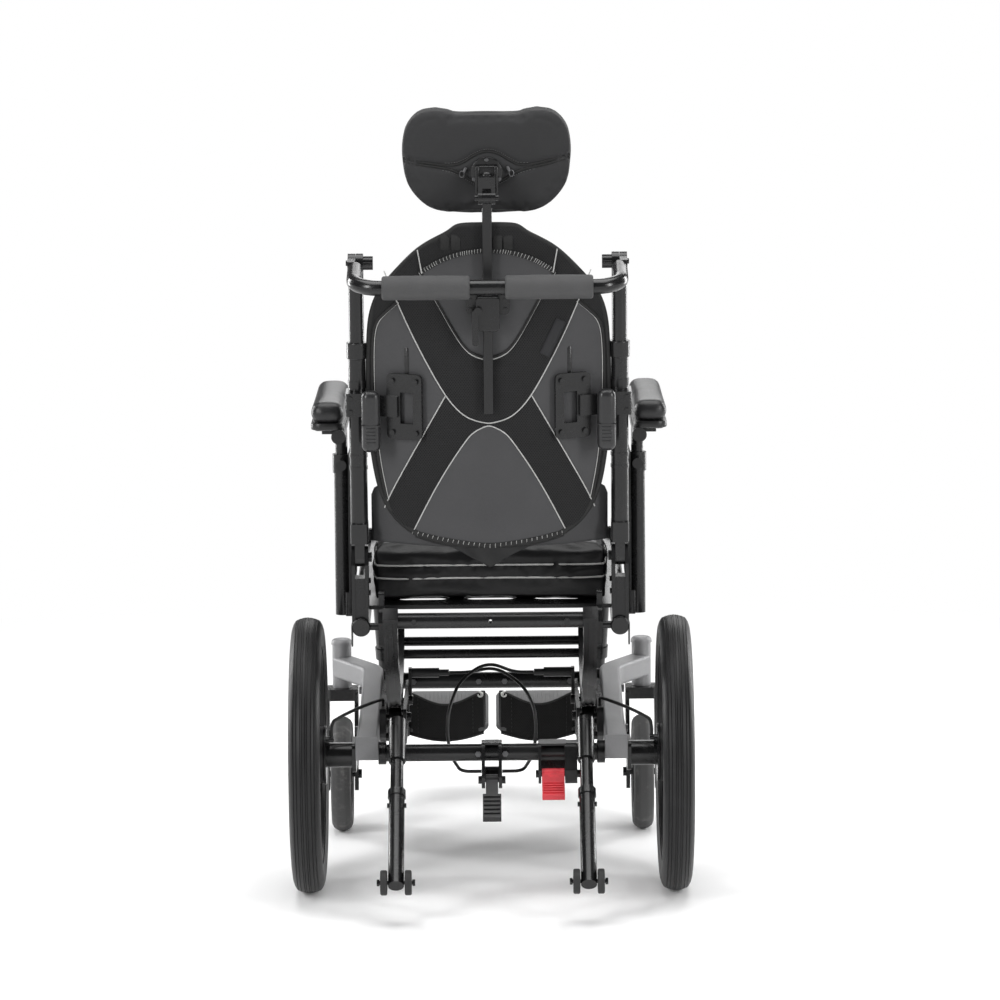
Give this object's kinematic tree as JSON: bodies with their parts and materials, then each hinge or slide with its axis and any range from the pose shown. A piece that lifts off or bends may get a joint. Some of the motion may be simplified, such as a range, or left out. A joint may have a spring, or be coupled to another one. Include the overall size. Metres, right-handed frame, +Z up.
{
  "type": "tilt in space wheelchair",
  "caption": "Manual tilt in space wheelchair with rocker rail tilt, reclining shell back, adjustable headrest, push bar, armrests, leg rests and anti-tippers.",
  "frame": {"origin": "middle of the chair's box on the floor, so the chair stands on Z = 0", "axes": "+Y is the way the chair faces, +X is the occupant's right, +Z is up"},
  "size_m": [0.591, 1.0106, 1.1604],
  "materials": {
    "frame_black": "satin powder coat",
    "beam_grey": "fine textured silver grey powder coat",
    "zinc": "zinc plated",
    "tyre_rubber": "solid polyurethane tyre",
    "wheel_plastic": "moulded, fine grain",
    "moulded_black": "moulded, fine grain",
    "cable_black": "cable jacket",
    "upholstery": "stretch fabric and vinyl over foam",
    "shell_laminate": "laminated fabric and mesh over a moulded shell",
    "pad_skin": "self skinned foam, satin",
    "grip_foam": "closed cell foam",
    "pedal_red": "moulded red"
  },
  "bodies": {
    "base": {"base_beam_left": "beam_grey", "base_beam_right": "beam_grey", "base_cross_tubes": "frame_black", "roller_brackets": "frame_black", "axle_carriers": "frame_black", "control_cables": "cable_black", "tilt_lock_housings": "moulded_black", "pedal_bracket": "frame_black", "wheel_lock_housing": "moulded_black", "anti_tip_arms": "frame_black", "base_fasteners": "zinc"},
    "rollers_rear": {"rollers_rear": "moulded_black"},
    "rollers_front": {"rollers_front": "moulded_black"},
    "tilt_pedal": {"tilt_pedal": "moulded_black"},
    "wheel_lock_pedal": {"wheel_lock_pedal": "pedal_red"},
    "seat": {"rocker_left": "frame_black", "rocker_right": "frame_black", "seat_rails": "frame_black", "seat_cross_tubes": "frame_black", "seat_pan": "frame_black", "seat_cushion": "upholstery", "back_brackets": "frame_black", "arm_sockets": "frame_black", "side_guards": "moulded_black"},
    "back": {"back_canes": "frame_black", "back_shell": "shell_laminate", "back_pad": "upholstery", "shell_plates": "moulded_black", "cane_clamps": "moulded_black", "headrest_bracket": "moulded_black"},
    "handle_posts": {"handle_posts": "frame_black"},
    "push_bar": {"push_bar": "frame_black", "foam_grips": "grip_foam"},
    "headrest_bar": {"headrest_bar": "frame_black"},
    "headrest_link": {"headrest_link": "frame_black"},
    "headrest_pad": {"headrest_pad": "upholstery"},
    "rear_wheel_left": {"rear_tyre_left": "tyre_rubber", "rear_wheel_left": "wheel_plastic"},
    "caster_fork_left": {"caster_fork_left": "frame_black"},
    "caster_wheel_left": {"caster_wheel_left": "wheel_plastic"},
    "anti_tip_sleeve_left": {"anti_tip_sleeve_left": "frame_black"},
    "anti_tip_wheels_left": {"anti_tip_wheels_left": "wheel_plastic"},
    "latch_left": {"latch_lever_left": "moulded_black"},
    "armrest_left": {"armrest_left": "frame_black", "arm_pad_left": "pad_skin"},
    "hanger_left": {"hanger_left": "frame_black"},
    "footrest_left": {"footrest_left": "frame_black"},
    "footplate_left": {"footplate_left": "moulded_black"},
    "rear_wheel_right": {"rear_tyre_right": "tyre_rubber", "rear_wheel_right": "wheel_plastic"},
    "caster_fork_right": {"caster_fork_right": "frame_black"},
    "caster_wheel_right": {"caster_wheel_right": "wheel_plastic"},
    "anti_tip_sleeve_right": {"anti_tip_sleeve_right": "frame_black"},
    "anti_tip_wheels_right": {"anti_tip_wheels_right": "wheel_plastic"},
    "latch_right": {"latch_lever_right": "moulded_black"},
    "armrest_right": {"armrest_right": "frame_black", "arm_pad_right": "pad_skin"},
    "hanger_right": {"hanger_right": "frame_black"},
    "footrest_right": {"footrest_right": "frame_black"},
    "footplate_right": {"footplate_right": "moulded_black"}
  },
  "joints": [
    {"name": "rear_wheel_left_spin", "type": "hinge", "parent": "base", "child": "rear_wheel_left", "pos_m": [-0.2695, -0.25235, 0.203], "axis": [1, 0, 0], "continuous": true},
    {"name": "caster_left_swivel", "type": "hinge", "parent": "base", "child": "caster_fork_left", "pos_m": [-0.235, 0.21765, 0.22], "axis": [0, 0, 1], "continuous": true},
    {"name": "caster_left_spin", "type": "hinge", "parent": "caster_fork_left", "child": "caster_wheel_left", "pos_m": [-0.235, 0.17765, 0.089], "axis": [1, 0, 0], "continuous": true},
    {"name": "anti_tip_left_length", "type": "slide", "parent": "base", "child": "anti_tip_sleeve_left", "axis": [0, 0.7462, 0.6657], "range_m": [0, 0.04]},
    {"name": "anti_tip_left_spin", "type": "hinge", "parent": "anti_tip_sleeve_left", "child": "anti_tip_wheels_left", "pos_m": [-0.138, -0.48735, 0.062], "axis": [1, 0, 0], "continuous": true},
    {"name": "latch_left_open", "type": "hinge", "parent": "back", "child": "latch_left", "pos_m": [-0.17, -0.33738, 0.736], "axis": [-1, 0, 0], "range_deg": [0, 50]},
    {"name": "armrest_left_height", "type": "slide", "parent": "seat", "child": "armrest_left", "axis": [0, 0, 1], "range_m": [0, 0.06]},
    {"name": "hanger_left_swing", "type": "hinge", "parent": "seat", "child": "hanger_left", "pos_m": [-0.189, 0.22965, 0.43925], "axis": [0, 0, 1], "range_deg": [0, 90]},
    {"name": "footrest_left_length", "type": "slide", "parent": "hanger_left", "child": "footrest_left", "axis": [-0.051, -0.2935, 0.9546], "range_m": [0, 0.05]},
    {"name": "footplate_left_flip", "type": "hinge", "parent": "footrest_left", "child": "footplate_left", "pos_m": [-0.1505, 0.37115, 0.1223], "axis": [0, -0.9659, -0.2588], "range_deg": [0, 90]},
    {"name": "rear_wheel_right_spin", "type": "hinge", "parent": "base", "child": "rear_wheel_right", "pos_m": [0.2695, -0.25235, 0.203], "axis": [1, 0, 0], "continuous": true},
    {"name": "caster_right_swivel", "type": "hinge", "parent": "base", "child": "caster_fork_right", "pos_m": [0.235, 0.21765, 0.22], "axis": [0, 0, 1], "continuous": true},
    {"name": "caster_right_spin", "type": "hinge", "parent": "caster_fork_right", "child": "caster_wheel_right", "pos_m": [0.235, 0.17765, 0.089], "axis": [1, 0, 0], "continuous": true},
    {"name": "anti_tip_right_length", "type": "slide", "parent": "base", "child": "anti_tip_sleeve_right", "axis": [0, 0.7462, 0.6657], "range_m": [0, 0.04]},
    {"name": "anti_tip_right_spin", "type": "hinge", "parent": "anti_tip_sleeve_right", "child": "anti_tip_wheels_right", "pos_m": [0.138, -0.48735, 0.062], "axis": [1, 0, 0], "continuous": true},
    {"name": "latch_right_open", "type": "hinge", "parent": "back", "child": "latch_right", "pos_m": [0.17, -0.33738, 0.736], "axis": [-1, 0, 0], "range_deg": [0, 50]},
    {"name": "armrest_right_height", "type": "slide", "parent": "seat", "child": "armrest_right", "axis": [0, 0, 1], "range_m": [0, 0.06]},
    {"name": "hanger_right_swing", "type": "hinge", "parent": "seat", "child": "hanger_right", "pos_m": [0.189, 0.22965, 0.43925], "axis": [0, 0, -1], "range_deg": [0, 90]},
    {"name": "footrest_right_length", "type": "slide", "parent": "hanger_right", "child": "footrest_right", "axis": [0.051, -0.2935, 0.9546], "range_m": [0, 0.05]},
    {"name": "footplate_right_flip", "type": "hinge", "parent": "footrest_right", "child": "footplate_right", "pos_m": [0.1505, 0.37115, 0.1223], "axis": [0, 0.9659, 0.2588], "range_deg": [0, 90]},
    {"name": "seat_tilt", "type": "hinge", "parent": "base", "child": "seat", "pos_m": [0, -0.03735, 0.62], "axis": [1, 0, 0], "range_deg": [0, 45]},
    {"name": "rollers_rear_spin", "type": "hinge", "parent": "base", "child": "rollers_rear", "pos_m": [0, -0.10582, 0.23169], "axis": [1, 0, 0], "range_deg": [-1250, 10]},
    {"name": "rollers_front_spin", "type": "hinge", "parent": "base", "child": "rollers_front", "pos_m": [0, 0.03112, 0.23169], "axis": [1, 0, 0], "range_deg": [-1250, 10]},
    {"name": "tilt_pedal_press", "type": "hinge", "parent": "base", "child": "tilt_pedal", "pos_m": [0, -0.27435, 0.168], "axis": [1, 0, 0], "range_deg": [0, 14], "stiffness_Nm_per_rad": 4, "springref_deg": -17.19},
    {"name": "wheel_lock_press", "type": "hinge", "parent": "base", "child": "wheel_lock_pedal", "pos_m": [0.09, -0.28235, 0.178], "axis": [1, 0, 0], "range_deg": [0, 22]},
    {"name": "back_recline", "type": "hinge", "parent": "seat", "child": "back", "pos_m": [0, -0.27235, 0.501], "axis": [1, 0, 0], "range_deg": [-15, 25]},
    {"name": "handle_height", "type": "slide", "parent": "back", "child": "handle_posts", "axis": [0, -0.0924, 0.9957], "range_m": [0, 0.07]},
    {"name": "handle_angle", "type": "hinge", "parent": "handle_posts", "child": "push_bar", "pos_m": [0, -0.31262, 0.93514], "axis": [1, 0, 0], "range_deg": [-50, 30]},
    {"name": "headrest_height", "type": "slide", "parent": "back", "child": "headrest_bar", "axis": [0, -0.0924, 0.9957], "range_m": [0, 0.07]},
    {"name": "headrest_link_tilt", "type": "hinge", "parent": "headrest_bar", "child": "headrest_link", "pos_m": [0, -0.38376, 1.03298], "axis": [1, 0, 0], "range_deg": [-20, 35]},
    {"name": "headrest_pad_tilt", "type": "hinge", "parent": "headrest_link", "child": "headrest_pad", "pos_m": [0, -0.35213, 1.06002], "axis": [1, 0, 0], "range_deg": [-22, 22]}
  ],
  "couplings": [
    {"joint": "rollers_rear_spin", "follows": "seat_tilt", "ratio": -27.143},
    {"joint": "rollers_front_spin", "follows": "seat_tilt", "ratio": -27.143}
  ]
}
